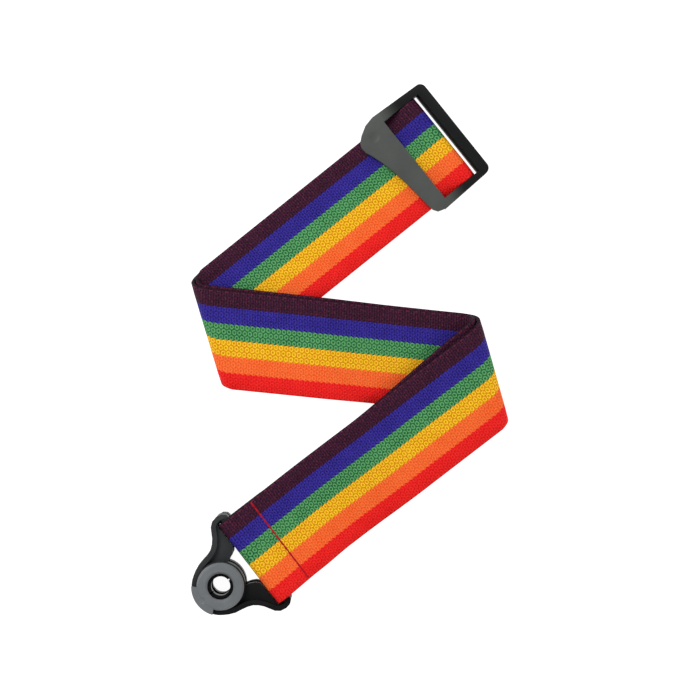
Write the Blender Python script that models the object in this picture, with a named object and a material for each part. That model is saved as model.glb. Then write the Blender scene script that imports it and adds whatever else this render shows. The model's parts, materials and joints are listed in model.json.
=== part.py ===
"""Woven guitar strap, folded in a flat Z: striped webbing, three-bar slider and two self-locking strap locks.

Metres, +Z up, origin on the floor under the middle of the folded strap. Lengths below are written in
millimetres and scaled by MM. The webbing is one ribbon: lock A, lower leg, right fold, middle leg, left fold,
upper leg, over the slider's middle bar, and back underneath itself to lock B, which lies under lock A.
"""
import math

import bmesh
import bpy
from mathutils import Matrix, Vector

MM = 0.001
GAP = 0.3                # clearance between touching pieces

# webbing
WIDTH = 50.0
THICK = 2.2
PITCH = THICK + GAP      # spacing of stacked runs
FLOOR_RUN = THICK / 2    # mid-surface height of a run on the floor
TAIL = 22.0              # sewn-back end under each loop
BAR_R = 1.6              # crossbars and the slider's middle bar
WRAP_R = BAR_R + GAP + THICK / 2
FOLD_R_RED = 1.5         # inner radius of a fold, tight on the red side
FOLD_R_PURPLE = {"left": 2.6, "right": 3.4}

# directions of the three legs, in degrees, and a point on each centre line
UPPER_HEADING, UPPER_POINT = 218.7, (-16.6, 58.5)
MIDDLE_HEADING, MIDDLE_POINT = -5.8, (-2.6, -1.0)
LOWER_HEADING, LOWER_POINT = 217.6, (-28.6, -91.9)
BAR_FROM_POINT = 80.2    # slider bar, up the upper leg from its point
BAR_A_FROM_POINT = 25.7  # crossbar of lock A, down the lower leg from its point
LOCK_B_AHEAD = 0.2       # lock B reaches this much further out than lock A
LOCK_B_ASIDE = -0.1      # and lies this far towards the red edge

# fold axes: a point and the direction that runs from the purple edge to the red edge
LEFT_AXIS, LEFT_AXIS_HEADING = (-68.3, 6.4), -74.6
RIGHT_AXIS, RIGHT_AXIS_HEADING = (70.2, -14.8), -72.0

# lock, in its own frame: x away from the webbing, crossbar axis at the origin
RING_X = 21.9
RING_R, RING_HOLE_R = 12.2, 6.7
CAVITY_R = 11.2
BORE_R = 4.9
HOUSING_R = 14.8
HOUSING_BOTTOM, WEB_TOP, RIM_TOP = -2.6, -0.2, 1.9
FLOOR_TOP = -1.4
RING_BOTTOM, RING_TOP = 2.2, 4.0
PLATE_BOTTOM, PLATE_TOP = -4.0, -2.9
BAR_B_Z = FLOOR_RUN + WRAP_R
BAR_A_Z = BAR_B_Z + WRAP_R + PITCH + WRAP_R + 0.5
SLIDER_BAR_Z = FLOOR_RUN + WRAP_R
SCREW_ANGLES, SCREW_CIRCLE = (60.0, 180.0, 300.0), 9.2
SCREW_HOLE_R, SCREW_HEAD_R, SCREW_TIP_R = 1.9, 1.6, 1.3
JAW_R, JAW_BOTTOM, JAW_TOP = 7.4, -1.1, 1.7
JAW_SWEEP, JAW_SPLIT = 172.0, 4.0        # the jaws leave this half gap where they meet
WIRE = 0.6                               # both springs are one open turn of square wire
JAW_SPRING_R, JAW_SPRING_Z = 8.9, -1.0
RING_SPRING_R, RING_SPRING_Z = 10.0, 0.6
CROSSBAR_HALF = 28.0
THROUGH = 8.0                            # cutters reach past the solid by up to this height

# heights that a run of webbing has to climb over the loop and the run under it
Q_LEAD, P_LEAD = 5.7, 2.7
TAIL_DROP = 3.3          # fall of the sewn-back end under lock A's loop

SMOOTH_ANGLE = math.radians(35)


# ---------------------------------------------------------------- helpers
def clear_scene():
    for obj in list(bpy.data.objects):
        bpy.data.objects.remove(obj, do_unlink=True)


def material(name, colour, roughness, metallic=0.0):
    mat = bpy.data.materials.new(name)
    mat.use_nodes = True
    shader = mat.node_tree.nodes["Principled BSDF"]
    shader.inputs["Base Color"].default_value = (*colour, 1.0)
    shader.inputs["Roughness"].default_value = roughness
    shader.inputs["Metallic"].default_value = metallic
    return mat


def direction(degrees):
    return Vector((math.cos(math.radians(degrees)), math.sin(math.radians(degrees))))


def smoothstep(value):
    value = min(1.0, max(0.0, value))
    return value * value * (3.0 - 2.0 * value)


def object_from(name, bm, mat, frame=None):
    """Make an object from a millimetre bmesh; frame is the matrix (in metres) that places it."""
    bmesh.ops.recalc_face_normals(bm, faces=bm.faces)
    bmesh.ops.scale(bm, vec=(MM, MM, MM), verts=bm.verts)
    mesh = bpy.data.meshes.new(name)
    bm.to_mesh(mesh)
    bm.free()
    mesh.shade_smooth()
    mesh.set_sharp_from_angle(angle=SMOOTH_ANGLE)
    obj = bpy.data.objects.new(name, mesh)
    bpy.context.collection.objects.link(obj)
    obj.data.materials.append(mat)
    if frame is not None:
        obj.matrix_world = frame
    return obj


def prism(points, z0, z1):
    """Closed solid from a plan outline."""
    bm = bmesh.new()
    face = bm.faces.new([bm.verts.new((x, y, z0)) for x, y in points])
    top = bmesh.ops.extrude_face_region(bm, geom=[face])
    lifted = [item for item in top["geom"] if isinstance(item, bmesh.types.BMVert)]
    bmesh.ops.translate(bm, vec=(0, 0, z1 - z0), verts=lifted)
    return bm


def turned(profile, centre=(0.0, 0.0), start=0.0, sweep=360.0, steps=48):
    """Turn an (r, z) outline about a vertical axis, all the way round or through part of a turn."""
    bm = bmesh.new()
    whole = sweep >= 360.0
    rows = []
    for step in range(steps if whole else steps + 1):
        angle = math.radians(start + sweep * step / steps)
        rows.append([
            bm.verts.new((centre[0] + r * math.cos(angle), centre[1] + r * math.sin(angle), z))
            for r, z in profile
        ])
    count = len(profile)
    for index in range(len(rows) if whole else len(rows) - 1):
        near, far = rows[index], rows[(index + 1) % len(rows)]
        for k in range(count):
            bm.faces.new((near[k], near[(k + 1) % count], far[(k + 1) % count], far[k]))
    if not whole:
        bm.faces.new(rows[0])
        bm.faces.new(rows[-1])
    return bm


def rod(radius, y0, y1, steps=20, centre=(0.0, 0.0)):
    """Round bar along y."""
    bm = bmesh.new()
    ends = []
    for y in (y0, y1):
        ends.append([
            bm.verts.new((
                centre[0] + radius * math.cos(2 * math.pi * k / steps), y,
                centre[1] + radius * math.sin(2 * math.pi * k / steps),
            ))
            for k in range(steps)
        ])
    bm.faces.new(ends[0])
    bm.faces.new(ends[1])
    for k in range(steps):
        after = (k + 1) % steps
        bm.faces.new((ends[0][k], ends[0][after], ends[1][after], ends[1][k]))
    return bm


def combine(obj, bm, frame, operation):
    """Join or cut obj with another millimetre solid, kept as a hidden tool object."""
    tool = object_from(obj.name + "_tool", bm, obj.data.materials[0], frame)
    tool.hide_render = True
    tool.display_type = "WIRE"
    modifier = obj.modifiers.new(operation.lower(), "BOOLEAN")
    modifier.operation = operation
    modifier.object = tool
    modifier.solver = "EXACT"
    return tool


def place(x, y, z, heading):
    return Matrix.Translation(Vector((x, y, z)) * MM) @ Matrix.Rotation(math.radians(heading), 4, "Z")


# ---------------------------------------------------------------- webbing path
class Leg:
    """A straight run of webbing in plan: centre-line point, travel direction and side of the purple edge."""

    def __init__(self, point, heading, purple_turn):
        self.point = Vector(point)
        self.along = direction(heading)
        self.purple = direction(heading + purple_turn)

    def edge(self, position, side, shift=0.0):
        """Plan point on an edge (side +1 purple, -1 red), moved sideways by shift towards purple."""
        return self.point + self.along * position + self.purple * (side * WIDTH / 2 + shift)

    def meet(self, axis_point, axis_dir, side, shift):
        """Positions along the leg and along a fold axis where an edge crosses that axis."""
        start = self.edge(0.0, side, shift)
        gap = Vector(axis_point) - start
        cross = self.along.x * axis_dir.y - self.along.y * axis_dir.x
        on_leg = (gap.x * axis_dir.y - gap.y * axis_dir.x) / cross
        on_axis = (gap.x * self.along.y - gap.y * self.along.x) / cross
        return on_leg, on_axis


UPPER = Leg(UPPER_POINT, UPPER_HEADING, -90)
MIDDLE = Leg(MIDDLE_POINT, MIDDLE_HEADING, 90)
LOWER = Leg(LOWER_POINT, LOWER_HEADING, -90)
FOLDS = {
    "left": (Vector(LEFT_AXIS), direction(LEFT_AXIS_HEADING), direction(LEFT_AXIS_HEADING - 90)),
    "right": (Vector(RIGHT_AXIS), direction(RIGHT_AXIS_HEADING), direction(RIGHT_AXIS_HEADING + 90)),
}
SIDES = (1, -1)
STEP_DOWN_START, STEP_DOWN = -11.0, 30.0     # middle leg leaves the upper leg and drops to the floor
CROSS_LENGTH, LOWER_DROP = 70.0, 40.0        # lower leg rests on the middle leg, then drops
LOOP_RISE = 24.0                             # webbing climbs this far from each crossbar
HIGH_RUN = FLOOR_RUN + PITCH + 2 * FOLD_R_RED


def fold_radius(fold, side, outer):
    inner = FOLD_R_PURPLE[fold] if side > 0 else FOLD_R_RED
    return inner + (PITCH if outer else 0.0)


def fold_excess(fold, side, distance):
    """Extra height on the purple side, where the fold stands open, dying away along the leg."""
    if side < 0:
        return 0.0
    return 2 * (FOLD_R_PURPLE[fold] - FOLD_R_RED) * (1 - smoothstep(distance / 55.0))


def fold_rungs(fold, leg_in, leg_out, outer, shift_in, shift_out, steps):
    axis, run, out = FOLDS[fold]
    rungs = []
    for step in range(1, steps):
        turn = math.pi * step / steps
        ends = []
        for side in SIDES:
            v_in = leg_in.meet(axis, run, side, shift_in)[1]
            v_out = leg_out.meet(axis, run, side, shift_out)[1]
            radius = fold_radius(fold, side, outer)
            plan = axis + run * (v_in + (v_out - v_in) * step / steps) + out * radius * math.sin(turn)
            low = FLOOR_RUN if outer else FLOOR_RUN + PITCH
            ends.append(Vector((plan.x, plan.y, low + radius * (1 - math.cos(turn)))))
        rungs.append(ends)
    return rungs


def leg_rungs(leg, starts, finishes, height, steps, shift=lambda part: 0.0):
    """Rungs across a leg; starts and finishes are (purple, red) positions, height(position, side)."""
    rungs = []
    for step in range(steps + 1):
        part = step / steps
        ends = []
        for side, first, last in zip(SIDES, starts, finishes):
            position = first + (last - first) * part
            plan = leg.edge(position, side, shift(part))
            ends.append(Vector((plan.x, plan.y, height(position, side))))
        rungs.append(ends)
    return rungs


def positions(leg, fold, shift):
    axis, run, _ = FOLDS[fold]
    return tuple(leg.meet(axis, run, side, shift)[0] for side in SIDES)


MIDDLE_SHIFT = {"top": (0.0, 0.0), "under": (2.0, 1.2)}   # sideways slip of each run at its two folds
LOWER_SHIFT = {"top": (0.0, 0.0), "under": (3.6, LOCK_B_ASIDE)}


def slip(pair, reach=1.0):
    return lambda part: pair[0] + (pair[1] - pair[0]) * smoothstep(part / reach)


def run_rungs(is_q, fine):
    """One run of webbing from the slider bar to its crossbar. Run Q is on top in the upper and lower legs."""
    upper_lift = PITCH if is_q else 0.0
    middle = "under" if is_q else "top"
    lower = "top" if is_q else "under"
    bar = -BAR_FROM_POINT
    left_in = positions(UPPER, "left", 0.0)
    left_out = positions(MIDDLE, "left", MIDDLE_SHIFT[middle][0])
    right_in = positions(MIDDLE, "right", MIDDLE_SHIFT[middle][1])
    right_out = positions(LOWER, "right", LOWER_SHIFT[lower][0])
    left_start = positions(MIDDLE, "left", 0.0)[0]
    right_start = positions(LOWER, "right", 0.0)[0]
    end = BAR_A_FROM_POINT + (0.0 if is_q else LOCK_B_AHEAD)

    def upper_height(position, side):
        over_bar = (2 * WRAP_R - PITCH) * (1 - smoothstep((position - bar - 1.5) / 13.0)) if is_q else 0.0
        return FLOOR_RUN + upper_lift + over_bar

    def middle_height(position, side):
        level = 1 - smoothstep((position - STEP_DOWN_START) / STEP_DOWN)
        beside = min(1.0, max(0.0, (position - STEP_DOWN_START + 12.0) / (STEP_DOWN + 24.0)))
        lift = 0.0 if is_q else PITCH + 0.6 * math.sin(math.pi * beside)
        drop = (HIGH_RUN - FLOOR_RUN) * level
        return FLOOR_RUN + lift + drop + fold_excess("left", side, position - left_start)

    def lower_height(position, side):
        drop_start = right_start + CROSS_LENGTH
        drop = (HIGH_RUN - FLOOR_RUN) * (1 - smoothstep((position - drop_start) / LOWER_DROP))
        rise = 1 - smoothstep((end - position) / LOOP_RISE)
        lead = 1 - smoothstep((end - position - LOOP_RISE) / 18.0)
        if is_q:
            loop = Q_LEAD * lead + (BAR_A_Z + WRAP_R - FLOOR_RUN - PITCH - Q_LEAD) * rise
            return FLOOR_RUN + PITCH + drop + fold_excess("right", side, position - right_start) + loop
        loop = P_LEAD * lead + (2 * WRAP_R - P_LEAD) * rise
        return FLOOR_RUN + drop + fold_excess("right", side, position - right_start) + loop

    rungs = leg_rungs(UPPER, (bar, bar), left_in, upper_height, 26 * fine)
    rungs += fold_rungs("left", UPPER, MIDDLE, not is_q, 0.0, MIDDLE_SHIFT[middle][0], 12 * fine)
    rungs += leg_rungs(MIDDLE, left_out, right_in, middle_height, 32 * fine, slip(MIDDLE_SHIFT[middle]))
    rungs += fold_rungs(
        "right", MIDDLE, LOWER, is_q, MIDDLE_SHIFT[middle][1], LOWER_SHIFT[lower][0], 12 * fine)
    rungs += leg_rungs(
        LOWER, right_out, (end, end), lower_height, 34 * fine, slip(LOWER_SHIFT[lower], 0.5))
    return rungs, end


def wrap_rungs(leg, position, bar_z, forward, steps, shift=0.0):
    """Half turn round a bar, from above it to below it; forward is +1 where the leg runs past the bar."""
    rungs = []
    for step in range(1, steps):
        turn = math.pi * step / steps
        ends = []
        for side in SIDES:
            plan = leg.edge(position + forward * WRAP_R * math.sin(turn), side, shift)
            ends.append(Vector((plan.x, plan.y, bar_z + WRAP_R * math.cos(turn))))
        rungs.append(ends)
    return rungs


def tail_rungs(end, bar_z, drop, steps, shift=0.0):
    """Sewn-back end that returns under its own run; drop is how far it falls along its length."""
    rungs = []
    for step in range(steps + 1):
        back = TAIL * step / steps
        ends = []
        for side in SIDES:
            plan = LOWER.edge(end - back, side, shift)
            ends.append(Vector((plan.x, plan.y, bar_z - WRAP_R - drop * smoothstep(back / LOOP_RISE))))
        rungs.append(ends)
    return rungs


def strap_rungs(fine=1):
    """Every rung of the ribbon, from the sewn end at lock A to the sewn end at lock B."""
    run_q, end_q = run_rungs(True, fine)
    run_p, end_p = run_rungs(False, fine)
    rungs = list(reversed(tail_rungs(end_q, BAR_A_Z, TAIL_DROP, 6 * fine)))
    rungs += list(reversed(wrap_rungs(LOWER, end_q, BAR_A_Z, 1, 10 * fine)))
    rungs += list(reversed(run_q))
    rungs += wrap_rungs(UPPER, -BAR_FROM_POINT, SLIDER_BAR_Z, -1, 10 * fine)
    rungs += run_p
    rungs += wrap_rungs(LOWER, end_p, BAR_B_Z, 1, 10 * fine, LOCK_B_ASIDE)
    rungs += tail_rungs(end_p, BAR_B_Z, 0.0, 6 * fine, LOCK_B_ASIDE)
    return rungs


def ribbon(rungs):
    """Give the ladder of rungs its thickness."""
    bm = bmesh.new()
    rows = []
    last = len(rungs) - 1
    for index, (purple, red) in enumerate(rungs):
        before, after = rungs[max(0, index - 1)], rungs[min(last, index + 1)]
        row = []
        for k, point in ((0, purple), (1, red)):
            normal = (after[k] - before[k]).cross(red - purple).normalized() * THICK / 2
            row += [bm.verts.new(point + normal), bm.verts.new(point - normal)]
        rows.append((row[0], row[2], row[3], row[1]))
    bm.faces.new(rows[0])
    bm.faces.new(rows[-1])
    for near, far in zip(rows, rows[1:]):
        for k in range(4):
            after = (k + 1) % 4
            bm.faces.new((near[k], near[after], far[after], far[k]))
    return bm


# ---------------------------------------------------------------- lock
ARM_OUTER = [(-3.0, 25.5), (-2.6, 27.4), (-0.8, 28.9), (2.0, 29.4), (5.2, 28.8), (7.5, 26.9),
             (9.1, 24.2), (10.5, 21.8), (12.3, 19.7), (14.6, 17.9), (17.4, 16.8), (20.4, 16.1),
             (23.9, 15.5), (27.2, 14.1)]
ARM_INNER = [(11.6, 7.6), (9.2, 8.3), (6.8, 9.6), (5.0, 11.8), (4.7, 25.4)]
RIM_WIDTH = 2.6


def mirrored(points):
    return [(x, -y) for x, y in reversed(points)]


def arc(centre_x, radius, start, end, steps):
    return [
        (centre_x + radius * math.cos(math.radians(start + (end - start) * k / steps)),
         radius * math.sin(math.radians(start + (end - start) * k / steps)))
        for k in range(steps + 1)
    ]


def outer_outline():
    """Outer edge of the yoke, from one arm's tip round the disc to the other."""
    return ARM_OUTER + arc(RING_X, HOUSING_R, 58, -58, 20) + mirrored(ARM_OUTER)


def inset(points, width):
    """Open outline moved inwards by width, to the right of its direction of travel."""
    moved = []
    last = len(points) - 1
    for index, (x, y) in enumerate(points):
        before, after = points[max(0, index - 1)], points[min(last, index + 1)]
        run = Vector((after[0] - before[0], after[1] - before[1])).normalized()
        moved.append((x + run.y * width, y - run.x * width))
    return moved


def build_housing(name, frame, mat):
    outer = outer_outline()
    inner_arc = arc(RING_X, RING_R + GAP, 212, 148, 10)
    outline = outer + mirrored(ARM_INNER) + inner_arc + ARM_INNER
    housing = object_from(name, prism(outline, HOUSING_BOTTOM, WEB_TOP), mat, frame)
    rim = outer + list(reversed(inset(outer, RIM_WIDTH)))
    combine(housing, prism(rim, HOUSING_BOTTOM + 0.4, RIM_TOP), frame, "UNION")
    collar = [(CAVITY_R - 1.0, HOUSING_BOTTOM + 0.2), (RING_R + 0.5, HOUSING_BOTTOM + 0.2),
              (RING_R + 0.5, RIM_TOP - 0.1), (CAVITY_R - 1.0, RIM_TOP - 0.1)]
    combine(housing, turned(collar, (RING_X, 0.0)), frame, "UNION")
    combine(housing, rod(BAR_R, -CROSSBAR_HALF, CROSSBAR_HALF), frame, "UNION")
    cavity = [(0.001, FLOOR_TOP), (CAVITY_R, FLOOR_TOP), (CAVITY_R, THROUGH), (0.001, THROUGH)]
    combine(housing, closed_turn(cavity, (RING_X, 0.0), 48), frame, "DIFFERENCE")
    bore = [(0.001, -THROUGH), (BORE_R + 0.4, -THROUGH), (BORE_R + 0.4, 0.0), (0.001, 0.0)]
    combine(housing, closed_turn(bore, (RING_X, 0.0), 48), frame, "DIFFERENCE")
    return housing


def build_ring(name, frame, mat):
    """Release ring: a flat annulus with a bevelled rim and a thumb tab on its outer side."""
    bevel = 1.1
    section = [(RING_HOLE_R, RING_BOTTOM), (RING_R, RING_BOTTOM), (RING_R, RING_TOP - bevel),
               (RING_R - bevel, RING_TOP), (RING_HOLE_R + bevel, RING_TOP), (RING_HOLE_R, RING_TOP - bevel)]
    ring = object_from(name, turned(section), mat, frame)
    tab = arc(0.0, HOUSING_R, -38, 37, 12) + arc(0.0, RING_R - 1.5, 34, -35, 8)
    combine(ring, prism(tab, RING_BOTTOM + 0.05, RING_TOP - 0.25), frame, "UNION")
    return ring


def build_lock(letter, bar_z, end_position, aside, mats):
    """Every piece of one lock; moving pieces have their origin on their own axis."""
    point = LOWER.point + LOWER.along * end_position + LOWER.purple * aside
    frame = place(point.x, point.y, bar_z, LOWER_HEADING)
    at_ring = frame @ Matrix.Translation((RING_X * MM, 0, 0))
    prefix = "lock_" + letter
    build_housing(prefix + "_housing", frame, mats["black"])
    build_ring(prefix + "_release_ring", at_ring, mats["grey"])

    plate = [(BORE_R + 0.4, PLATE_BOTTOM), (RING_R, PLATE_BOTTOM), (RING_R, PLATE_TOP),
             (BORE_R + 0.4, PLATE_TOP)]
    back = object_from(prefix + "_back_plate", turned(plate), mats["black"], at_ring)
    jaw = [(BORE_R, JAW_BOTTOM), (JAW_R, JAW_BOTTOM), (JAW_R, JAW_TOP - 0.4), (JAW_R - 0.8, JAW_TOP),
           (BORE_R + 0.7, JAW_TOP), (BORE_R, JAW_TOP - 0.8)]
    for side, start in (("left", JAW_SPLIT), ("right", JAW_SPLIT + 180.0)):
        object_from(prefix + "_jaw_" + side, turned(jaw, start=start, sweep=JAW_SWEEP, steps=20),
                    mats["jaw"], at_ring)
    wires = (("_jaw_spring", JAW_SPRING_R, JAW_SPRING_Z, 20.0),
             ("_ring_spring", RING_SPRING_R, RING_SPRING_Z, 200.0))
    for suffix, radius, z, start in wires:
        wire = [(radius, z), (radius + WIRE, z), (radius + WIRE, z + WIRE), (radius, z + WIRE)]
        object_from(prefix + suffix, turned(wire, start=start, sweep=320.0, steps=30), mats["steel"], at_ring)
    for number, angle in enumerate(SCREW_ANGLES, 1):
        centre = tuple(direction(angle) * SCREW_CIRCLE)
        hole = [(0.001, -THROUGH), (SCREW_HOLE_R, -THROUGH), (SCREW_HOLE_R, 0.0), (0.001, 0.0)]
        combine(back, closed_turn(hole, centre), at_ring, "DIFFERENCE")
        low, high = PLATE_BOTTOM + 0.1, PLATE_TOP - 0.1
        screw = [(0.001, low), (SCREW_TIP_R, low), (SCREW_HEAD_R, low + GAP), (SCREW_HEAD_R, high),
                 (0.001, high)]
        object_from(prefix + "_screw_%d" % number, closed_turn(screw, centre), mats["steel"], at_ring)


def closed_turn(profile, centre, steps=16):
    """Turned solid whose outline starts and ends on the axis."""
    bm = turned(profile, centre, steps=steps)
    bmesh.ops.remove_doubles(bm, verts=bm.verts, dist=0.01)
    return bm


# ---------------------------------------------------------------- slider
SLIDER_ASIDE = 0.4          # the slider sits this far towards the purple edge
SLIDER_HALF = 29.0          # half its width at the end bar
SLIDER_FLARE = 1.3          # and this much more where the rails meet the tongue plate
SLIDER_CORNER = 3.4
WINDOW_HALF = 25.3          # centred on the webbing, not on the slider
WINDOW = (-16.3, 6.4)
END_LIP, END_LIP_TOP = 1.0, 1.6          # the end bar is this much deeper inwards below this height
FRAME_END = 11.9
FRAME_BOTTOM, FRAME_TOP = -1.2, 3.9
PLATE_UNDER = 1.5
TONGUE = [(-19.6, 30.3), (-25.1, 29.1), (-29.8, 26.4), (-32.6, 24.0), (-33.8, 21.4), (-33.6, 18.2),
          (-32.0, 14.4), (-29.9, 7.8), (-28.3, 0.8), (-27.1, -6.7), (-26.2, -14.5), (-25.4, -23.6),
          (-24.8, -26.6), (-23.2, -29.0), (-20.0, -30.0)]


def build_slider(mat):
    """Three-bar slider: end bar and side rails round a window, a middle bar and a wide tongue plate."""
    bar = UPPER.point - UPPER.along * BAR_FROM_POINT
    frame = place(bar.x, bar.y, SLIDER_BAR_Z, UPPER_HEADING + 180)
    frame = frame @ Matrix.Translation((0, SLIDER_ASIDE * MM, 0))
    wide = SLIDER_HALF + SLIDER_FLARE
    root = WINDOW[0] - 3.0
    bend = FRAME_END - SLIDER_CORNER
    rails = [(root, -wide)]
    rails += [(bend + x, -SLIDER_HALF + SLIDER_CORNER + y) for x, y in arc(0, SLIDER_CORNER, 270, 360, 6)]
    rails += [(bend + x, SLIDER_HALF - SLIDER_CORNER + y) for x, y in arc(0, SLIDER_CORNER, 0, 90, 6)]
    rails += [(root, wide)]
    slider = object_from("slider_frame", prism(rails, FRAME_BOTTOM, FRAME_TOP), mat, frame)
    tongue = [(WINDOW[0] + 1.0, wide - 0.2)] + TONGUE + [(WINDOW[0] + 1.0, -wide + 0.2)]
    combine(slider, prism(tongue, PLATE_UNDER, FRAME_TOP + 0.2), frame, "UNION")
    low, high = -WINDOW_HALF - SLIDER_ASIDE, WINDOW_HALF - SLIDER_ASIDE
    for reach, bottom in ((WINDOW[1], END_LIP_TOP), (WINDOW[1] - END_LIP, -THROUGH)):
        window = [(WINDOW[0], low), (reach, low), (reach, high), (WINDOW[0], high)]
        combine(slider, prism(window, bottom, THROUGH), frame, "DIFFERENCE")
    under = [(root - 20.0, low), (WINDOW[0] + 1.0, low), (WINDOW[0] + 1.0, high), (root - 20.0, high)]
    combine(slider, prism(under, -THROUGH, PLATE_UNDER), frame, "DIFFERENCE")
    combine(slider, rod(BAR_R, -WINDOW_HALF - 1.5, WINDOW_HALF + 1.5), frame, "UNION")
    return slider


def main():
    clear_scene()
    mats = {
        "black": material("moulded_black", (0.012, 0.012, 0.014), 0.35),
        "grey": material("moulded_grey", (0.135, 0.145, 0.15), 0.5),
        "slider": material("slider_grey", (0.02, 0.021, 0.021), 0.45),
        "jaw": material("jaw_black", (0.008, 0.008, 0.009), 0.3),
        "steel": material("steel", (0.55, 0.55, 0.56), 0.35, 1.0),
        "webbing": material("striped_webbing", (0.75, 0.30, 0.03), 0.85),
    }
    object_from("webbing", ribbon(strap_rungs()), mats["webbing"])
    build_slider(mats["slider"])
    build_lock("a", BAR_A_Z, BAR_A_FROM_POINT, 0.0, mats)
    build_lock("b", BAR_B_Z, BAR_A_FROM_POINT + LOCK_B_AHEAD, LOCK_B_ASIDE, mats)


main()
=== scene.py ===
import json
import math

import bmesh
import bpy
import numpy as np
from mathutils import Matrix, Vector
from mathutils.bvhtree import BVHTree

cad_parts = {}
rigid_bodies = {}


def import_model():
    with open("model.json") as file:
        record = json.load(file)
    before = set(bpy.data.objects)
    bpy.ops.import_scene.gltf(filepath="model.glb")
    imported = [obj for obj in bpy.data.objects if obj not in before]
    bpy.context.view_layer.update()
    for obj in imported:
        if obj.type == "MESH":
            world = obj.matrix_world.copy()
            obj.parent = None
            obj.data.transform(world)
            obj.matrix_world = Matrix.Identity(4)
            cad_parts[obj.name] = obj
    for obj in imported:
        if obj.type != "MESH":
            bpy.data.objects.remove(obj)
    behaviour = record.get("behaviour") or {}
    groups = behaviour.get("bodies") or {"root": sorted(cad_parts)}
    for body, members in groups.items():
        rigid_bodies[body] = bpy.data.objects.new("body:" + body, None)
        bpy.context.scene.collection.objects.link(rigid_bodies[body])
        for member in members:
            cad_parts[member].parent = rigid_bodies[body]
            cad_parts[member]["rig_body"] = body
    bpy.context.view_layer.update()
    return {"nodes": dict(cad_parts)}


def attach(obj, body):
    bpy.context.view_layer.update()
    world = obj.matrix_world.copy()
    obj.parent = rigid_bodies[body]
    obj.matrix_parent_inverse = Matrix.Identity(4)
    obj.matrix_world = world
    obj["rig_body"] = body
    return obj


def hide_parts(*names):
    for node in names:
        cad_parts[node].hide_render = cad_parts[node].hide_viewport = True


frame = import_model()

MM = 0.001

# ---------------------------------------------------------------- strap dimensions, as in the CAD model
GAP = 0.3
WIDTH = 50.0
THICK = 2.2
PITCH = THICK + GAP
FLOOR_RUN = THICK / 2
TAIL = 22.0
BAR_R = 1.6
WRAP_R = BAR_R + GAP + THICK / 2
FOLD_R_RED = 1.5
FOLD_R_PURPLE = {"left": 2.6, "right": 3.4}
UPPER_HEADING, UPPER_POINT = 218.7, (-16.6, 58.5)
MIDDLE_HEADING, MIDDLE_POINT = -5.8, (-2.6, -1.0)
LOWER_HEADING, LOWER_POINT = 217.6, (-28.6, -91.9)
BAR_FROM_POINT = 80.2
BAR_A_FROM_POINT = 25.7
LOCK_B_AHEAD, LOCK_B_ASIDE = 0.2, -0.1
LEFT_AXIS, LEFT_AXIS_HEADING = (-68.3, 6.4), -74.6
RIGHT_AXIS, RIGHT_AXIS_HEADING = (70.2, -14.8), -72.0
BAR_B_Z = FLOOR_RUN + WRAP_R
BAR_A_Z = BAR_B_Z + WRAP_R + PITCH + WRAP_R + 0.5
SLIDER_BAR_Z = FLOOR_RUN + WRAP_R
STEP_DOWN_START, STEP_DOWN = -11.0, 30.0
CROSS_LENGTH, LOWER_DROP = 70.0, 40.0
LOOP_RISE = 24.0
HIGH_RUN = FLOOR_RUN + PITCH + 2 * FOLD_R_RED
FOLD_FADE = 55.0                         # the purple side of a fold settles over this length
BAR_FLAT, BAR_DROP = 1.5, 13.0           # the top run leaves the slider's bar flat, then comes down
STEP_MARGIN, STEP_ARCH = 12.0, 0.6       # the top run arches over the step, and past it by the margin
LEAD_LENGTH = 18.0                       # each run starts to rise this far ahead of its loop
Q_LEAD, P_LEAD = 5.7, 2.7                # and by this much
TAIL_DROP = 3.3                          # fall of the sewn-back end under lock A's loop
RING_X, RING_TOP = 21.9, 4.0             # ring's centre from the crossbar, and its face above the bar
MIDDLE_SHIFT = {"top": (0.0, 0.0), "under": (2.0, 1.2)}
LOWER_SHIFT = {"top": (0.0, 0.0), "under": (3.6, LOCK_B_ASIDE)}
SIDES = (1, -1)
UPPER_STEPS, MIDDLE_STEPS, LOWER_STEPS = 78, 96, 102
FOLD_STEPS, WRAP_STEPS, TAIL_STEPS = 36, 30, 18

# ---------------------------------------------------------------- webbing finish
STRIPE = WIDTH / 6
CELL_ALONG, CELL_ACROSS = 2.7, WIDTH / 18
LOOP_ALONG, LOOP_ACROSS = 3.1, 2.7       # scales a cell so that its loop of yarn has a radius of one
RELIEF = 0.22
SUNK = 0.6               # stitches on an underside lie this deep, clear of the floor
GROOVE, GROOVE_HALF = 0.3, 0.8           # the seam pulls the webbing in
STITCH_BACK, STITCHES = 16.2, 14         # seam this far from the crossbar, stitches across the webbing
HOLE_INSET = 0.15                        # first needle hole from the edge, as a share of a stitch
THREAD_R, THREAD_ABOVE = 0.5, 0.05
THREAD_SIDES, THREAD_RINGS = 8, 9
COLUMNS_OUT, COLUMNS_IN = 54, 9          # faces across the woven side and the plain side
ROW_LENGTH = 0.75
EDGE_COLUMNS = 3                         # points round each rounded edge, between the two sides
EDGE_STEP = 0.55                         # how far each of them moves on in the weave
EDGE_THIN, EDGE_BULGE = 0.86, 0.25
EDGE_FADE, EDGE_RELIEF = 1.5, 0.35       # the relief falls to this share within this distance of an edge

# ---------------------------------------------------------------- moulded finish
SLIDER_ROUND, HOUSING_ROUND, RING_ROUND = 0.9, 0.45, 0.25
SLIDER_MARK, SLIDER_MARK_TOP = (25.3, 22.1), 4.1     # along and across from the bar, and above it
SLIDER_MARK_R, SLIDER_MARK_DEPTH = 3.0, 0.4
RING_MARK, RING_MARK_R, RING_MARK_DEPTH = 11.6, 2.0, 0.6
HOUSING_PAINTED_SHADE = (-18.0, 6.0)             # the housing's painted shade changes here, across from the webbing's middle
SLIDER_PAINTED_SHADE = (-17.0, -4.0)             # and the slider's painted shade here, along from its bar


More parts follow.
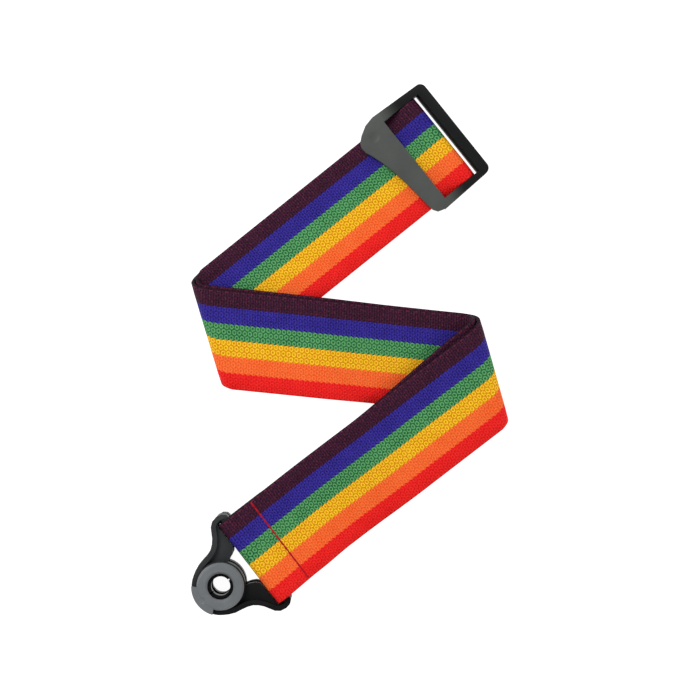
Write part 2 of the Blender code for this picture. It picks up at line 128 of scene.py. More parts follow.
def direction(degrees):
    return Vector((math.cos(math.radians(degrees)), math.sin(math.radians(degrees))))


def smoothstep(value):
    value = min(1.0, max(0.0, value))
    return value * value * (3.0 - 2.0 * value)


# ---------------------------------------------------------------- webbing path
class Leg:
    """A straight run of webbing in plan: a centre-line point, its heading and its purple side."""

    def __init__(self, point, heading, purple_turn):
        self.point = Vector(point)
        self.along = direction(heading)
        self.purple = direction(heading + purple_turn)

    def edge(self, position, side, shift=0.0):
        return self.point + self.along * position + self.purple * (side * WIDTH / 2 + shift)

    def meet(self, axis_point, axis_dir, side, shift):
        start = self.edge(0.0, side, shift)
        gap = Vector(axis_point) - start
        cross = self.along.x * axis_dir.y - self.along.y * axis_dir.x
        on_leg = (gap.x * axis_dir.y - gap.y * axis_dir.x) / cross
        on_axis = (gap.x * self.along.y - gap.y * self.along.x) / cross
        return on_leg, on_axis


UPPER = Leg(UPPER_POINT, UPPER_HEADING, -90)
MIDDLE = Leg(MIDDLE_POINT, MIDDLE_HEADING, 90)
LOWER = Leg(LOWER_POINT, LOWER_HEADING, -90)
FOLDS = {
    "left": (Vector(LEFT_AXIS), direction(LEFT_AXIS_HEADING), direction(LEFT_AXIS_HEADING - 90)),
    "right": (Vector(RIGHT_AXIS), direction(RIGHT_AXIS_HEADING), direction(RIGHT_AXIS_HEADING + 90)),
}


def fold_radius(fold, side, outer):
    inner = FOLD_R_PURPLE[fold] if side > 0 else FOLD_R_RED
    return inner + (PITCH if outer else 0.0)


def fold_excess(fold, side, distance):
    if side < 0:
        return 0.0
    return 2 * (FOLD_R_PURPLE[fold] - FOLD_R_RED) * (1 - smoothstep(distance / FOLD_FADE))


def fold_rungs(fold, leg_in, leg_out, outer, shift_in, shift_out):
    """Half a turn of webbing round a fold's axis; the outer run lies round the inner one."""
    axis, run, out = FOLDS[fold]
    rungs = []
    for step in range(1, FOLD_STEPS):
        turn = math.pi * step / FOLD_STEPS
        ends = []
        for side in SIDES:
            v_in = leg_in.meet(axis, run, side, shift_in)[1]
            v_out = leg_out.meet(axis, run, side, shift_out)[1]
            radius = fold_radius(fold, side, outer)
            along_axis = v_in + (v_out - v_in) * step / FOLD_STEPS
            plan = axis + run * along_axis + out * radius * math.sin(turn)
            low = FLOOR_RUN if outer else FLOOR_RUN + PITCH
            ends.append(Vector((plan.x, plan.y, low + radius * (1 - math.cos(turn)))))
        rungs.append(ends)
    return rungs


def leg_rungs(leg, starts, finishes, height, steps, shift=lambda part: 0.0):
    """A straight stretch of webbing, with a start and a finish for each edge."""
    rungs = []
    for step in range(steps + 1):
        part = step / steps
        ends = []
        for side, first, last in zip(SIDES, starts, finishes):
            position = first + (last - first) * part
            plan = leg.edge(position, side, shift(part))
            ends.append(Vector((plan.x, plan.y, height(position, side))))
        rungs.append(ends)
    return rungs


def positions(leg, fold, shift):
    """Where each edge of a leg meets a fold's axis."""
    axis, run, _ = FOLDS[fold]
    return tuple(leg.meet(axis, run, side, shift)[0] for side in SIDES)


def slip(pair, reach=1.0):
    """Sideways shift along a leg, from the first value to the second within a share of its length."""
    return lambda part: pair[0] + (pair[1] - pair[0]) * smoothstep(part / reach)


def run_rungs(is_q):
    """One run of webbing from the slider bar to its crossbar, and the crossbar's place on the lower leg.

    Run Q is on top in the upper and lower legs, and the other run is on top in the middle leg.
    """
    upper_lift = PITCH if is_q else 0.0
    middle = "under" if is_q else "top"
    lower = "top" if is_q else "under"
    bar = -BAR_FROM_POINT
    left_in = positions(UPPER, "left", 0.0)
    left_out = positions(MIDDLE, "left", MIDDLE_SHIFT[middle][0])
    right_in = positions(MIDDLE, "right", MIDDLE_SHIFT[middle][1])
    right_out = positions(LOWER, "right", LOWER_SHIFT[lower][0])
    left_start = positions(MIDDLE, "left", 0.0)[0]
    right_start = positions(LOWER, "right", 0.0)[0]
    end = BAR_A_FROM_POINT + (0.0 if is_q else LOCK_B_AHEAD)

    def upper_height(position, side):
        fall = 1 - smoothstep((position - bar - BAR_FLAT) / BAR_DROP)
        over_bar = (2 * WRAP_R - PITCH) * fall if is_q else 0.0
        return FLOOR_RUN + upper_lift + over_bar

    def middle_height(position, side):
        level = 1 - smoothstep((position - STEP_DOWN_START) / STEP_DOWN)
        passed = (position - STEP_DOWN_START + STEP_MARGIN) / (STEP_DOWN + 2 * STEP_MARGIN)
        arch = STEP_ARCH * math.sin(math.pi * min(1.0, max(0.0, passed)))
        lift = 0.0 if is_q else PITCH + arch
        drop = (HIGH_RUN - FLOOR_RUN) * level
        return FLOOR_RUN + lift + drop + fold_excess("left", side, position - left_start)

    def lower_height(position, side):
        drop_start = right_start + CROSS_LENGTH
        drop = (HIGH_RUN - FLOOR_RUN) * (1 - smoothstep((position - drop_start) / LOWER_DROP))
        rise = 1 - smoothstep((end - position) / LOOP_RISE)
        lead = 1 - smoothstep((end - position - LOOP_RISE) / LEAD_LENGTH)
        if is_q:
            loop = Q_LEAD * lead + (BAR_A_Z + WRAP_R - FLOOR_RUN - PITCH - Q_LEAD) * rise
            return FLOOR_RUN + PITCH + drop + fold_excess("right", side, position - right_start) + loop
        loop = P_LEAD * lead + (2 * WRAP_R - P_LEAD) * rise
        return FLOOR_RUN + drop + fold_excess("right", side, position - right_start) + loop

    rungs = leg_rungs(UPPER, (bar, bar), left_in, upper_height, UPPER_STEPS)
    rungs += fold_rungs("left", UPPER, MIDDLE, not is_q, 0.0, MIDDLE_SHIFT[middle][0])
    rungs += leg_rungs(MIDDLE, left_out, right_in, middle_height, MIDDLE_STEPS, slip(MIDDLE_SHIFT[middle]))
    rungs += fold_rungs("right", MIDDLE, LOWER, is_q, MIDDLE_SHIFT[middle][1], LOWER_SHIFT[lower][0])
    settle = slip(LOWER_SHIFT[lower], 0.5)
    rungs += leg_rungs(LOWER, right_out, (end, end), lower_height, LOWER_STEPS, settle)
    return rungs, end


def wrap_rungs(leg, position, bar_z, forward, shift=0.0):
    """Half a turn of webbing round a bar, from its top to its underside."""
    rungs = []
    for step in range(1, WRAP_STEPS):
        turn = math.pi * step / WRAP_STEPS
        ends = []
        for side in SIDES:
            plan = leg.edge(position + forward * WRAP_R * math.sin(turn), side, shift)
            ends.append(Vector((plan.x, plan.y, bar_z + WRAP_R * math.cos(turn))))
        rungs.append(ends)
    return rungs


def tail_rungs(end, bar_z, drop, shift=0.0):
    """The sewn-back end of the webbing, from under its crossbar."""
    rungs = []
    for step in range(TAIL_STEPS + 1):
        back = TAIL * step / TAIL_STEPS
        ends = []
        for side in SIDES:
            plan = LOWER.edge(end - back, side, shift)
            ends.append(Vector((plan.x, plan.y, bar_z - WRAP_R - drop * smoothstep(back / LOOP_RISE))))
        rungs.append(ends)
    return rungs


def strap_rungs():
    """The whole webbing as pairs of edge points, from the end sewn at lock A to the end sewn at lock B."""
    run_q, end_q = run_rungs(True)
    run_p, end_p = run_rungs(False)
    rungs = list(reversed(tail_rungs(end_q, BAR_A_Z, TAIL_DROP)))
    rungs += list(reversed(wrap_rungs(LOWER, end_q, BAR_A_Z, 1)))
    rungs += list(reversed(run_q))
    rungs += wrap_rungs(UPPER, -BAR_FROM_POINT, SLIDER_BAR_Z, -1)
    rungs += run_p
    rungs += wrap_rungs(LOWER, end_p, BAR_B_Z, 1, LOCK_B_ASIDE)
    rungs += tail_rungs(end_p, BAR_B_Z, 0.0, LOCK_B_ASIDE)
    return rungs


def even_ladder():
    """The ribbon's two edges, resampled to even steps, with the length along each edge."""
    rungs = np.array([[list(purple), list(red)] for purple, red in strap_rungs()])
    seg = np.linalg.norm(np.diff(rungs, axis=0), axis=2)
    lengths = np.vstack([np.zeros((1, 2)), np.cumsum(seg, axis=0)])
    middle = lengths.mean(axis=1)
    rows = int(middle[-1] / ROW_LENGTH)
    samples = np.linspace(0.0, middle[-1], rows + 1)
    edges = np.stack([
        np.stack([np.interp(samples, middle, rungs[:, k, axis]) for axis in range(3)], axis=1)
        for k in (0, 1)
    ], axis=1)
    along = np.stack([np.interp(samples, middle, lengths[:, k]) for k in (0, 1)], axis=1)
    return edges, along


def weave_height(u, v):
    """Relief of the basket weave, 0 in the hollows to 1 on the yarn crowns; u along and v across, in mm."""
    row = np.floor(v / CELL_ACROSS)
    x = u / CELL_ALONG + 0.5 * np.mod(row, 2)
    y = v / CELL_ACROSS
    return 0.5 - 0.25 * np.cos(2 * np.pi * x) - 0.25 * np.cos(2 * np.pi * y)


def section_columns():
    """Points round the ribbon's section, each as width share, height, place in the weave, relief or not."""
    half = THICK / 2
    columns = [(k / COLUMNS_OUT, half, k / COLUMNS_OUT * WIDTH, True) for k in range(COLUMNS_OUT + 1)]
    turns = [(k, half * math.cos(math.pi * k / (EDGE_COLUMNS + 1))) for k in range(1, EDGE_COLUMNS + 1)]
    columns += [(1.0, offset, WIDTH + EDGE_STEP * k, False) for k, offset in turns]
    for k in range(COLUMNS_IN + 1):
        part = 1 - k / COLUMNS_IN
        columns.append((part, -half, part * WIDTH, False))
    columns += [(0.0, offset, -EDGE_STEP * k, False) for k, offset in reversed(turns)]
    return columns


def ribbon_points(columns):
    """Every point of the ribbon with its place in the weave, as arrays of rows, and the ribbon's length."""
    edges, along = even_ladder()
    purple, red = edges[:, 0], edges[:, 1]
    count = len(edges)
    length = along.mean(axis=1)[-1]
    seams = [TAIL + math.pi * WRAP_R + STITCH_BACK]
    seams.append(length - seams[0])
    half = THICK / 2
    ends = []
    for k in (0, 1):
        normal = np.cross(np.gradient(edges[:, k], axis=0), red - purple)
        ends.append(normal / np.linalg.norm(normal, axis=1, keepdims=True))
    across = (red - purple) / WIDTH
    width_dir = across / np.linalg.norm(across, axis=1, keepdims=True)

    points = np.zeros((count, len(columns), 3))
    uvs = np.zeros((count, len(columns), 2))
    for c, (part, offset, v, relief) in enumerate(columns):
        base = purple * (1 - part) + red * part
        normal = ends[0] * (1 - part) + ends[1] * part
        normal /= np.linalg.norm(normal, axis=1, keepdims=True)
        u = along[:, 0] * (1 - part) + along[:, 1] * part
        height = np.full(count, offset)
        if relief:
            inside = min(1.0, min(v, WIDTH - v) / EDGE_FADE)
            share = EDGE_RELIEF + (1 - EDGE_RELIEF) * inside
            height = offset - RELIEF * (1 - weave_height(u, v)) * share
            for line in seams:
                height = height - GROOVE * np.exp(-((u - line) / GROOVE_HALF) ** 2)
        if abs(offset) == half and part in (0.0, 1.0):
            height = height * EDGE_THIN
        points[:, c] = base + normal * height[:, None]
        if abs(offset) < half:
            bulge = EDGE_BULGE * math.sqrt(1 - (offset / half) ** 2)
            points[:, c] += width_dir * (bulge if part > 0.5 else -bulge)
        uvs[:, c, 0] = u
        uvs[:, c, 1] = v
    return points, uvs, float(length)


def build_webbing(mat):
    """The whole ribbon as one closed mesh; its outer face carries the weave's relief."""
    points, uvs, length = ribbon_points(section_columns())
    count, width = points.shape[:2]
    index = np.arange(count * width).reshape(count, width)
    quads = np.stack([
        index[:-1], np.roll(index, -1, axis=1)[:-1], np.roll(index, -1, axis=1)[1:], index[1:]
    ], axis=-1).reshape(-1, 4)
    faces = quads.tolist() + [index[0][::-1].tolist(), index[-1].tolist()]
    mesh = bpy.data.meshes.new("webbing_cloth")
    mesh.from_pydata((points.reshape(-1, 3) * MM).tolist(), [], faces)
    uv_points = uvs.reshape(-1, 2)
    loop_vertex = np.zeros(len(mesh.loops), dtype=np.int64)
    mesh.loops.foreach_get("vertex_index", loop_vertex)
    coords = uv_points[loop_vertex]
    starts = np.arange(len(quads)) * 4
    last_column = (np.arange(len(quads)) % width) == width - 1
    for corner in (1, 2):                 # the seam column reads on past the purple edge, to v = 0
        coords[starts[last_column] + corner, 1] = 0.0
    layer = mesh.uv_layers.new(name="Weave")
    layer.data.foreach_set("uv", coords.astype(np.float32).ravel())
    mesh.validate()
    obj = bpy.data.objects.new("webbing_cloth", mesh)
    bpy.context.scene.collection.objects.link(obj)
    bm = bmesh.new()
    bm.from_mesh(mesh)
    bmesh.ops.recalc_face_normals(bm, faces=bm.faces)
    bm.to_mesh(mesh)
    bm.free()
    mesh.shade_smooth()
    mesh.materials.append(mat)
    return obj, length


# ---------------------------------------------------------------- node helper
class Node:
    """A number in a material, with arithmetic that adds Math nodes."""

    def __init__(self, tree, socket):
        self.tree, self.socket = tree, socket

    def math(self, operation, *others):
        node = self.tree.nodes.new("ShaderNodeMath")
        node.operation = operation
        for slot, value in zip(node.inputs, (self, *others)):
            if isinstance(value, Node):
                self.tree.links.new(value.socket, slot)
            else:
                slot.default_value = value
        return Node(self.tree, node.outputs[0])

    def __add__(self, other):
        return self.math("ADD", other)

    def __sub__(self, other):
        return self.math("SUBTRACT", other)

    def __mul__(self, other):
        return self.math("MULTIPLY", other)

    def __truediv__(self, other):
        return self.math("DIVIDE", other)

    def ramp(self, low, high, start=0.0, end=1.0):
        """Smooth change from start to end as the value goes from low to high."""
        node = self.tree.nodes.new("ShaderNodeMapRange")
        node.interpolation_type = "SMOOTHSTEP"
        self.tree.links.new(self.socket, node.inputs["Value"])
        for name, value in (("From Min", low), ("From Max", high), ("To Min", start), ("To Max", end)):
            node.inputs[name].default_value = value
        return Node(self.tree, node.outputs["Result"])


def srgb(red, green, blue):
    return tuple((c / 255 / 12.92) if c <= 10 else ((c / 255 + 0.055) / 1.055) ** 2.4
                 for c in (red, green, blue)) + (1.0,)


def new_material(name):
    mat = bpy.data.materials.new(name)
    mat.use_nodes = True
    shader = mat.node_tree.nodes["Principled BSDF"]
    return mat, mat.node_tree, shader


def noise(tree, coordinate, scale, detail=3.0, roughness=0.6):
    node = tree.nodes.new("ShaderNodeTexNoise")
    node.inputs["Scale"].default_value = scale
    node.inputs["Detail"].default_value = detail
    node.inputs["Roughness"].default_value = roughness
    tree.links.new(coordinate, node.inputs["Vector"])
    return Node(tree, node.outputs["Fac"])


def blend_colours(tree, factor, first, second):
    node = tree.nodes.new("ShaderNodeMix")
    node.data_type = "RGBA"
    tree.links.new(factor.socket, node.inputs["Factor"])
    for slot, value in ((node.inputs["A"], first), (node.inputs["B"], second)):
        if isinstance(value, tuple):
            slot.default_value = value
        else:
            tree.links.new(value, slot)
    return node.outputs["Result"]


def stripe_ramp(tree, position, colours):
    """Six equal stripes across the strap, each a flat colour."""
    node = tree.nodes.new("ShaderNodeValToRGB")
    ramp = node.color_ramp
    ramp.interpolation = "CONSTANT"
    while len(ramp.elements) < len(colours):
        ramp.elements.new(0.5)
    for k, colour in enumerate(colours):
        ramp.elements[k].position = k / len(colours)
        ramp.elements[k].color = colour
    tree.links.new(position.socket, node.inputs["Fac"])
    return node.outputs["Color"]


# yarn colours from the purple edge to the red edge: shaded hollows, and crowns of the yarn
DEEP = [srgb(18, 0, 12), srgb(16, 4, 84), srgb(12, 84, 44), srgb(210, 126, 0), srgb(236, 74, 14),
        srgb(214, 0, 4)]
CROWN = [srgb(72, 26, 56), srgb(66, 54, 172), srgb(98, 170, 106), srgb(255, 208, 38), srgb(255, 126, 62),
         srgb(255, 46, 40)]
FLECK = srgb(132, 48, 74)
MAROON = srgb(104, 36, 60)
FLECK_PITCH = 4.3


def webbing_material():
    mat, tree, shader = new_material("striped_webbing_woven")
    uv = tree.nodes.new("ShaderNodeUVMap")
    uv.uv_map = "Weave"
    split = tree.nodes.new("ShaderNodeSeparateXYZ")
    tree.links.new(uv.outputs["UV"], split.inputs["Vector"])
    u, v = Node(tree, split.outputs["X"]), Node(tree, split.outputs["Y"])

    # basket weave: rows of yarn loops in a brick pattern, each with a dark eye and a dark line round it
    row = (v / CELL_ACROSS).math("FLOOR")
    odd = row.math("FLOORED_MODULO", 2.0)
    wander = noise(tree, uv.outputs["UV"], 0.35, 2.0) - 0.5
    x = (u / CELL_ALONG + odd * 0.5 + wander * 0.24).math("FRACT") - 0.5
    y = (v / CELL_ACROSS + wander * 0.12).math("FRACT") - 0.5
    x, y = x * LOOP_ALONG, y * LOOP_ACROSS
    radius = (x * x + y * y).math("SQRT")
    loop = radius.ramp(0.4, 0.8) * radius.ramp(1.1, 1.5, 1.0, 0.0)
    fibre = noise(tree, uv.outputs["UV"], 1.5, 3.0)
    patch = noise(tree, uv.outputs["UV"], 0.12, 2.0)
    rib = (u * (4 * math.pi / CELL_ALONG)).math("SINE") * 0.5 + 0.5
    grain = (v * (4 * math.pi / CELL_ACROSS) + rib * 1.5).math("SINE") * 0.5 + 0.5

    # green to orange yarns show the loops; purple, blue and red ones show more of the cross ribs
    stripe = v / STRIPE
    light = stripe.ramp(1.6, 2.2) * stripe.ramp(3.8, 4.4, 1.0, 0.25)
    crown = loop * (light * 0.42 + 0.35) + rib * (light * -0.2 + 0.26) + grain * (light * -0.1 + 0.16)
    crown = crown + (fibre - 0.5) * 1.3 + (patch - 0.5) * 0.4 + 0.04
    crown = crown.math("MAXIMUM", 0.0).math("MINIMUM", 1.0)
    waver = (u * (2 * math.pi / CELL_ALONG)).math("SINE") * 0.0055
    place = (v / WIDTH + waver).math("MAXIMUM", 0.001).math("MINIMUM", 0.999)
    colour = blend_colours(tree, crown, stripe_ramp(tree, place, DEEP), stripe_ramp(tree, place, CROWN))

    # maroon yarn showing through the purple stripe, and short flecks along its edge
    in_purple = place.ramp(0.163, 0.169, 1.0, 0.0)
    spots = noise(tree, uv.outputs["UV"], 0.9, 3.0).ramp(0.50, 0.62)
    colour = blend_colours(tree, spots * rib * in_purple * 0.75, colour, MAROON)
    edge_row = (v - 0.55).math("ABSOLUTE").ramp(0.16, 0.42, 1.0, 0.0)
    dash = ((u / FLECK_PITCH).math("FRACT") - 0.5).math("ABSOLUTE").ramp(0.10, 0.24, 1.0, 0.0)
    colour = blend_colours(tree, edge_row * dash * (fibre * 0.5 + 0.1), colour, FLECK)
    selvedge = v.ramp(-0.25, 0.05, 1.0, 0.0)
    colour = blend_colours(tree, selvedge * 0.8, colour, srgb(20, 7, 17))
    tree.links.new(colour, shader.inputs["Base Color"])

    rough = crown * -0.12 + 0.8
    tree.links.new(rough.socket, shader.inputs["Roughness"])
    shader.inputs["Specular IOR Level"].default_value = 0.15
    bump = tree.nodes.new("ShaderNodeBump")
    bump.inputs["Strength"].default_value = 0.9
    bump.inputs["Distance"].default_value = 0.0003
    height = loop * 0.5 + rib * 0.3 + fibre * 0.4 + grain * 0.15
    tree.links.new(height.socket, bump.inputs["Height"])
    tree.links.new(bump.outputs["Normal"], shader.inputs["Normal"])
    return mat


def plastic_material(name, colour, roughness, shade_painting=None):
    """Moulded plastic: fine grain in the surface, faint mottling in colour and gloss.

    The last argument is (colour, direction, start, end): painted shade, with the tone changing to that
    colour along a direction, in metres.
    """
    mat, tree, shader = new_material(name)
    coords = tree.nodes.new("ShaderNodeTexCoord")
    fine = noise(tree, coords.outputs["Object"], 2600.0, 3.0)
    broad = noise(tree, coords.outputs["Object"], 90.0, 4.0)
    light = tuple(min(1.0, c * 1.22 + 0.002) for c in colour[:3]) + (1.0,)
    dark = tuple(c * 0.82 for c in colour[:3]) + (1.0,)
    shader.inputs["Specular IOR Level"].default_value = 0.25
    tone = blend_colours(tree, broad, dark, light)
    # painted shade: the tone darkens towards the given colour along a direction
    if shade_painting:
        split = tree.nodes.new("ShaderNodeSeparateXYZ")
        tree.links.new(coords.outputs["Object"], split.inputs["Vector"])
        along = Node(tree, split.outputs["X"]) * shade_painting[1].x + Node(tree, split.outputs["Y"]) * shade_painting[1].y
        tone = blend_colours(tree, along.ramp(shade_painting[2], shade_painting[3]), tone, shade_painting[0])
    tree.links.new(tone, shader.inputs["Base Color"])
    rough = broad * 0.14 + fine * 0.08 + (roughness - 0.11)
    tree.links.new(rough.socket, shader.inputs["Roughness"])
    bump = tree.nodes.new("ShaderNodeBump")
    bump.inputs["Strength"].default_value = 0.2
    bump.inputs["Distance"].default_value = 0.0001
    tree.links.new(fine.socket, bump.inputs["Height"])
    tree.links.new(bump.outputs["Normal"], shader.inputs["Normal"])
    return mat


def steel_material():
    mat, tree, shader = new_material("drawn_steel")
    coords = tree.nodes.new("ShaderNodeTexCoord")
    streak = noise(tree, coords.outputs["Object"], 1800.0, 2.0)
    tree.links.new(blend_colours(tree, streak, (0.34, 0.34, 0.35, 1), (0.62, 0.62, 0.63, 1)),
                   shader.inputs["Base Color"])
    shader.inputs["Metallic"].default_value = 1.0
    rough = streak * 0.2 + 0.25
    tree.links.new(rough.socket, shader.inputs["Roughness"])
    return mat


def thread_material():
    mat, tree, shader = new_material("stitch_thread")
    coords = tree.nodes.new("ShaderNodeTexCoord")
    twist = noise(tree, coords.outputs["Object"], 2400.0, 2.0)
    tree.links.new(blend_colours(tree, twist, srgb(138, 0, 14), srgb(206, 36, 48)),
                   shader.inputs["Base Color"])
    shader.inputs["Roughness"].default_value = 0.75
    shader.inputs["Specular IOR Level"].default_value = 0.1
    return mat


# ---------------------------------------------------------------- moulded pieces
def pressed(mesh, centre, radius, depth):
    """Press a shallow round hollow into the top of a mesh, at a point on that top."""
    ball = (radius ** 2 + depth ** 2) / (2 * depth)
    bm = bmesh.new()
    bmesh.ops.create_uvsphere(bm, u_segments=48, v_segments=120, radius=ball)
    bmesh.ops.translate(bm, vec=centre + Vector((0, 0, ball - depth)), verts=bm.verts)
    cutter_mesh = bpy.data.meshes.new("dimple_cutter")
    bm.to_mesh(cutter_mesh)
    bm.free()
    pair = [bpy.data.objects.new("dimple_cutter", cutter_mesh), bpy.data.objects.new("dimple_target", mesh)]
    for obj in pair:
        bpy.context.scene.collection.objects.link(obj)
    cut = pair[1].modifiers.new("dimple", "BOOLEAN")
    cut.operation, cut.solver, cut.object = "DIFFERENCE", "EXACT", pair[0]
    result = bpy.data.meshes.new_from_object(pair[1].evaluated_get(bpy.context.evaluated_depsgraph_get()))
    for obj in pair:
        bpy.data.objects.remove(obj, do_unlink=True)
    for edge in result.edges:
        ends = [result.vertices[index].co for index in edge.vertices]
        if all(abs((end - centre).xy.length - radius) < 0.02 * MM for end in ends):
            edge.use_edge_sharp = True
    return result


def softened(node, mat, width, segments=3, dimple=None):
    """A CAD solid with its facets merged, its corners rounded and its round walls shaded smooth.

    dimple is the centre, radius and depth of a hollow to press into it, in metres.
    """
    source = frame["nodes"][node]
    mesh = source.data.copy()
    mesh.materials.clear()
    mesh.materials.append(mat)
    bm = bmesh.new()
    bm.from_mesh(mesh)
    bmesh.ops.remove_doubles(bm, verts=bm.verts, dist=2e-6)
    bmesh.ops.dissolve_limit(bm, angle_limit=math.radians(1.5), verts=bm.verts, edges=bm.edges)
    bm.to_mesh(mesh)
    bm.free()
    mesh.shade_smooth()
    if dimple:
        mesh = pressed(mesh, *dimple)
    piece = bpy.data.objects.new(node + "_moulded", mesh)
    bpy.context.scene.collection.objects.link(piece)
    bevel = piece.modifiers.new("round", "BEVEL")
    bevel.width = width * MM
    bevel.segments = segments
    bevel.limit_method = "ANGLE"
    bevel.angle_limit = math.radians(40)
    bevel.harden_normals = True
    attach(piece, source["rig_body"])
    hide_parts(node)
    return piece


def stitch_row(name, points, normals, mat):
    """Machine stitches: short thread humps between needle holes, along a line of hole positions."""
    bm = bmesh.new()
    angles = [2 * math.pi * s / THREAD_SIDES for s in range(THREAD_SIDES)]
    for start, end, normal in zip(points, points[1:], normals):
        along = end - start
        length = along.length
        along.normalize()
        side = normal.cross(along).normalized()
        rows = []
        for k in range(THREAD_RINGS):
            part = k / (THREAD_RINGS - 1)
            centre = start + along * length * (0.02 + 0.96 * part)
            centre = centre + normal * (0.4 * math.sin(math.pi * part) ** 0.6 - 0.15)
            size = THREAD_R * (0.72 + 0.28 * math.sin(math.pi * part))
            rows.append([
                bm.verts.new((centre + (side * math.cos(a) + normal * 0.8 * math.sin(a)) * size) * MM)
                for a in angles
            ])
        bm.faces.new(rows[0][::-1])
        bm.faces.new(rows[-1])
        for near, far in zip(rows, rows[1:]):
            for s in range(THREAD_SIDES):
                after = (s + 1) % THREAD_SIDES
                bm.faces.new((near[s], near[after], far[after], far[s]))
    bmesh.ops.recalc_face_normals(bm, faces=bm.faces)
    mesh = bpy.data.meshes.new(name)
    bm.to_mesh(mesh)
    bm.free()
    mesh.shade_smooth()
    mesh.materials.append(mat)
    obj = bpy.data.objects.new(name, mesh)
    bpy.context.scene.collection.objects.link(obj)
    return obj


def surface_height(tree, x, y, near):
    """Height of the cloth's surface at a plan position; of several, the one nearest to the given height."""
    start, best = 0.04, None
    while True:
        hit = tree.ray_cast(Vector((x * MM, y * MM, start)), Vector((0, 0, -1)))[0]
        if hit is None:
            return near if best is None else best
        start = hit.z - 1e-5
        height = hit.z / MM
        if best is None or abs(height - near) < abs(best - near):
            best = height


def stitch_line(run_is_q, on_top, tree):
    """Needle holes across the webbing on its upper run, or on the underside of its sewn-back tail."""
    end = BAR_A_FROM_POINT + (0.0 if run_is_q else LOCK_B_AHEAD)
    bar_z = BAR_A_Z if run_is_q else BAR_B_Z
    rungs, _ = run_rungs(run_is_q)
    here = end - STITCH_BACK
    surface = []
    for side in (0, 1):
        run = sorted((LOWER.along.dot(Vector(rung[side][:2]) - LOWER.point), rung[side][2])
                     for rung in rungs[-60:])
        surface.append(float(np.interp(here, [r[0] for r in run], [r[1] for r in run])) + THICK / 2)
    lift = THREAD_ABOVE
    if not on_top:
        drop = TAIL_DROP if run_is_q else 0.0
        surface = [bar_z - WRAP_R - drop * smoothstep(STITCH_BACK / LOOP_RISE) - THICK / 2] * 2
        lift = SUNK
    normal = Vector((0, 0, 1 if on_top else -1))
    aside = 0.0 if run_is_q else LOCK_B_ASIDE
    points = []
    for k in range(STITCHES + 1):
        part = (k + HOLE_INSET) / (STITCHES + 2 * HOLE_INSET)
        plan = LOWER.point + LOWER.along * here + LOWER.purple * (WIDTH / 2 - part * WIDTH + aside)
        height = surface_height(tree, plan.x, plan.y, surface[0] * (1 - part) + surface[1] * part)
        points.append(Vector((plan.x, plan.y, height + lift)))
    return points, [normal] * STITCHES


def slider_dimple():
    """Centre, radius and depth of the plain round hollow on the tongue plate."""
    bar = UPPER.point - UPPER.along * BAR_FROM_POINT
    spot = bar + UPPER.along * SLIDER_MARK[0] + UPPER.purple * SLIDER_MARK[1]
    centre = Vector((spot.x, spot.y, SLIDER_BAR_Z + SLIDER_MARK_TOP)) * MM
    return centre, SLIDER_MARK_R * MM, SLIDER_MARK_DEPTH * MM


def ring_dimple(letter):
    """Centre, radius and depth of the plain hollow on the release ring's tab."""
    end = BAR_A_FROM_POINT + (LOCK_B_AHEAD if letter == "b" else 0.0)
    spot = LOWER.point + LOWER.along * (end + RING_X + RING_MARK)
    spot += LOWER.purple * (LOCK_B_ASIDE if letter == "b" else 0.0)
    top = (BAR_B_Z if letter == "b" else BAR_A_Z) + RING_TOP
    return Vector((spot.x, spot.y, top)) * MM, RING_MARK_R * MM, RING_MARK_DEPTH * MM


def housing_painted_shade():
    """Painted shade for the housing: its tone falls off from its purple side to its red side, as uneven
    light would make it.
    """
    side = LOWER.purple * -1
    middle = LOWER.point.dot(side)
    start, end = ((middle + place) * MM for place in HOUSING_PAINTED_SHADE)
    return srgb(10, 11, 12), side, start, end


def slider_painted_shade():
    """Painted shade for the slider: its tone falls off from its tongue plate to its bars, as uneven light
    would make it.
    """
    reach = UPPER.along * -1
    bar = (UPPER.point - UPPER.along * BAR_FROM_POINT).dot(reach)
    start, end = ((bar + place) * MM for place in SLIDER_PAINTED_SHADE)
    return srgb(13, 14, 14), reach, start, end


materials = {
    "webbing": webbing_material(),
    # painted shade: the housing darkens from its purple side to its red side
    "housing": plastic_material("moulded_black_painted_shade", srgb(48, 50, 51), 0.45, shade_painting=housing_painted_shade()),
    "black": plastic_material("moulded_black_grained", srgb(24, 25, 27), 0.36),
    "grey": plastic_material("moulded_grey_grained", srgb(108, 111, 113), 0.42),
    # painted shade: the slider darkens from its tongue plate to its bars
    "slider": plastic_material("slider_grained_painted_shade", srgb(74, 77, 74), 0.5, shade_painting=slider_painted_shade()),
    "jaw": plastic_material("jaw_polished", srgb(14, 15, 17), 0.28),
    "steel": steel_material(),
    "thread": thread_material(),
}

# ---------------------------------------------------------------- webbing and its stitches
cloth, strap_length = build_webbing(materials["webbing"])
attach(cloth, "strap")
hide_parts("webbing")

cloth_tree = BVHTree.FromPolygons([v.co for v in cloth.data.vertices],
                                  [p.vertices for p in cloth.data.polygons])
for label, is_q, on_top in (("a_top", True, True), ("a_under", True, False),
                            ("b_top", False, True), ("b_under", False, False)):
    holes, normals = stitch_line(is_q, on_top, cloth_tree)
    row = stitch_row("stitches_" + label, holes, normals, materials["thread"])
    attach(row, "strap")
strap_length * MM

# ---------------------------------------------------------------- slider
slider = softened("slider_frame", materials["slider"], SLIDER_ROUND, 4, slider_dimple())

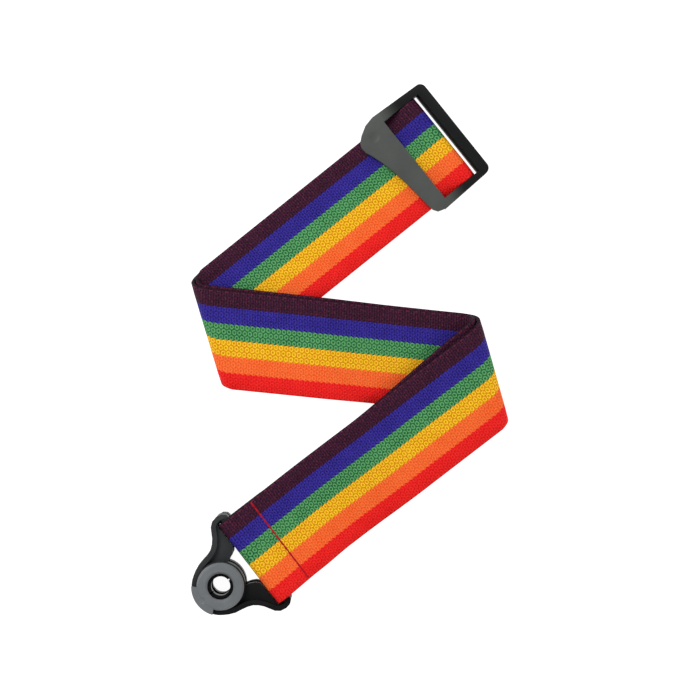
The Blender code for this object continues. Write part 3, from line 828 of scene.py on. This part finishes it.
# ---------------------------------------------------------------- locks
INNER_FINISHES = {"back_plate": "black", "jaw_left": "jaw", "jaw_right": "jaw", "jaw_spring": "steel",
                  "ring_spring": "steel", "screw_1": "steel", "screw_2": "steel", "screw_3": "steel"}
for letter in "ab":
    lock = "lock_" + letter
    housing = softened(lock + "_housing", materials["housing"], HOUSING_ROUND)
    ring = softened(lock + "_release_ring", materials["grey"], RING_ROUND, dimple=ring_dimple(letter))
    for part, finish in INNER_FINISHES.items():
        node = frame["nodes"][lock + "_" + part]
        node.data.materials.clear()
        node.data.materials.append(materials[finish])
        node.data.shade_smooth()
        node.data.set_sharp_from_angle(angle=math.radians(35))


# ---------------------------------------------------------------- floor, light and camera
FLOOR_HALF, FLOOR_BELOW = 3.0, 0.0002
CAMERA_HEIGHT = 0.64
VIEW_WIDTH = 0.364           # what the picture spans at the height of the folded webbing
VIEW_LEVEL = 0.005


def floor():
    """A white floor that is mostly lit by itself, so that it stays as white as the background."""
    mesh = bpy.data.meshes.new("floor")
    corners = [(x * FLOOR_HALF, y * FLOOR_HALF, 0) for x, y in ((-1, -1), (1, -1), (1, 1), (-1, 1))]
    mesh.from_pydata(corners, [], [(0, 1, 2, 3)])
    plane = bpy.data.objects.new("floor", mesh)
    bpy.context.scene.collection.objects.link(plane)
    mat, tree, shader = new_material("floor_white")
    shader.inputs["Base Color"].default_value = (0.3, 0.3, 0.3, 1.0)
    shader.inputs["Roughness"].default_value = 0.9
    shader.inputs["Emission Color"].default_value = (1.0, 1.0, 1.0, 1.0)
    shader.inputs["Emission Strength"].default_value = 0.97
    mesh.materials.append(mat)
    plane.location.z = -FLOOR_BELOW


def area_light(name, location, size, power):
    """A round lamp that points at the origin."""
    data = bpy.data.lights.new(name, "AREA")
    data.shape = "DISK"
    data.size = size
    data.energy = power
    lamp = bpy.data.objects.new(name, data)
    bpy.context.scene.collection.objects.link(lamp)
    lamp.location = location
    lamp.rotation_euler = (-Vector(location)).to_track_quat("-Z", "Y").to_euler()


def studio():
    """Soft white surroundings with a dark patch overhead, and two lamps."""
    world = bpy.data.worlds.new("studio")
    bpy.context.scene.world = world
    world.use_nodes = True
    tree = world.node_tree
    coords = tree.nodes.new("ShaderNodeTexCoord")
    split = tree.nodes.new("ShaderNodeSeparateXYZ")
    tree.links.new(coords.outputs["Generated"], split.inputs["Vector"])
    sky = Node(tree, split.outputs["Z"]).ramp(0.55, 0.93, 1.0, 0.0)
    tree.links.new(blend_colours(tree, sky, (0.10, 0.10, 0.11, 1.0), (1.0, 1.0, 1.0, 1.0)),
                   tree.nodes["Background"].inputs["Color"])
    tree.nodes["Background"].inputs["Strength"].default_value = 0.65
    area_light("key", location=(-0.55, 0.5, 0.75), size=0.6, power=7.6)
    area_light("fill", location=(0.7, -0.35, 0.65), size=0.9, power=3.8)
    bpy.context.scene.view_settings.view_transform = "Standard"


def camera():
    """Straight above the middle of the object, and close, so its ends are seen a little from inside."""
    data = bpy.data.cameras.new("camera")
    data.sensor_width = 36.0
    data.lens = data.sensor_width * (CAMERA_HEIGHT - VIEW_LEVEL) / VIEW_WIDTH
    obj = bpy.data.objects.new("camera", data)
    bpy.context.scene.collection.objects.link(obj)
    obj.location = (0.0, 0.0, CAMERA_HEIGHT)
    bpy.context.scene.camera = obj


floor()
studio()
camera()
